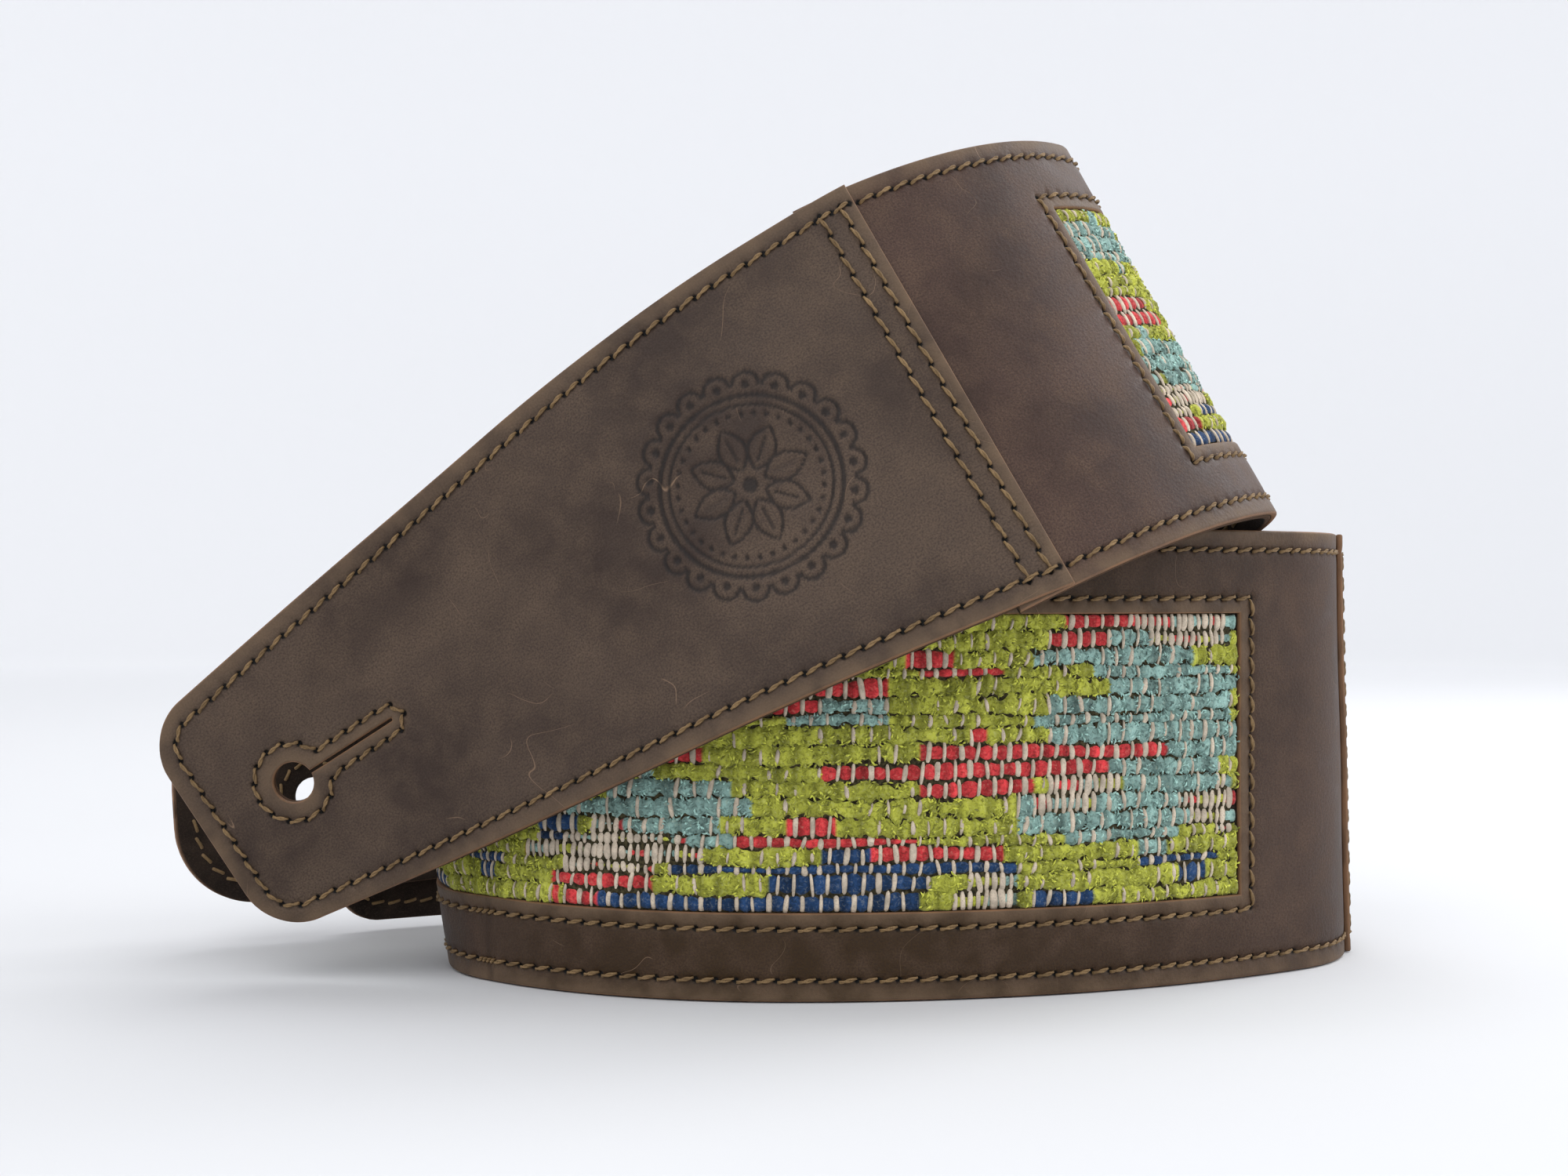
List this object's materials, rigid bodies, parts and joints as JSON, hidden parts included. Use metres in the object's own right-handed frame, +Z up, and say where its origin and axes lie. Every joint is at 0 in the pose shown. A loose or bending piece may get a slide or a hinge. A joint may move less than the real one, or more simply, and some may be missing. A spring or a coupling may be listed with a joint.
{
  "type": "guitar strap",
  "caption": "Wide leather guitar strap with a woven panel in a window, tapered keyhole ends and an adjustable tail, lying rolled on its edge.",
  "frame": {"origin": "Middle of the object's bounding box in plan, on the floor it stands on.", "axes": "+X runs along the front band to the viewer's right, +Y away from the viewer, +Z up. The strap stands rolled on its long edge, with its two ends at -X."},
  "size_m": [0.254, 0.1266, 0.1698],
  "materials": {
    "grain_leather": "dark brown oiled grain leather, satin, scuffed",
    "suede_leather": "dark brown flesh side of the leather, matt suede",
    "weave": "chunky chenille weave in lime, aqua, coral and navy with cream warp ticks",
    "thread": "waxed golden brown sewing thread"
  },
  "bodies": {
    "root": {"body_leather": "grain_leather", "body_backing": "suede_leather", "woven_panel": "weave", "front_end_panel": "grain_leather", "front_end_lining": "suede_leather", "rear_end_panel": "grain_leather", "rear_end_lining": "suede_leather", "tail_strap": "grain_leather", "tail_lining": "suede_leather", "body_upper_edge_thread": "thread", "body_upper_edge_bobbin": "thread", "body_lower_edge_thread": "thread", "body_lower_edge_bobbin": "thread", "window_thread": "thread", "window_bobbin": "thread", "front_seam_outer_thread": "thread", "front_seam_outer_bobbin": "thread", "front_seam_inner_thread": "thread", "front_seam_inner_bobbin": "thread", "front_edge_thread": "thread", "front_edge_bobbin": "thread", "front_keyhole_thread": "thread", "front_keyhole_bobbin": "thread", "rear_seam_outer_thread": "thread", "rear_seam_outer_bobbin": "thread", "rear_seam_inner_thread": "thread", "rear_seam_inner_bobbin": "thread", "rear_edge_thread": "thread", "rear_edge_bobbin": "thread", "tail_edge_thread": "thread", "tail_edge_bobbin": "thread", "tail_keyhole_thread": "thread", "tail_keyhole_bobbin": "thread"}
  },
  "joints": []
}
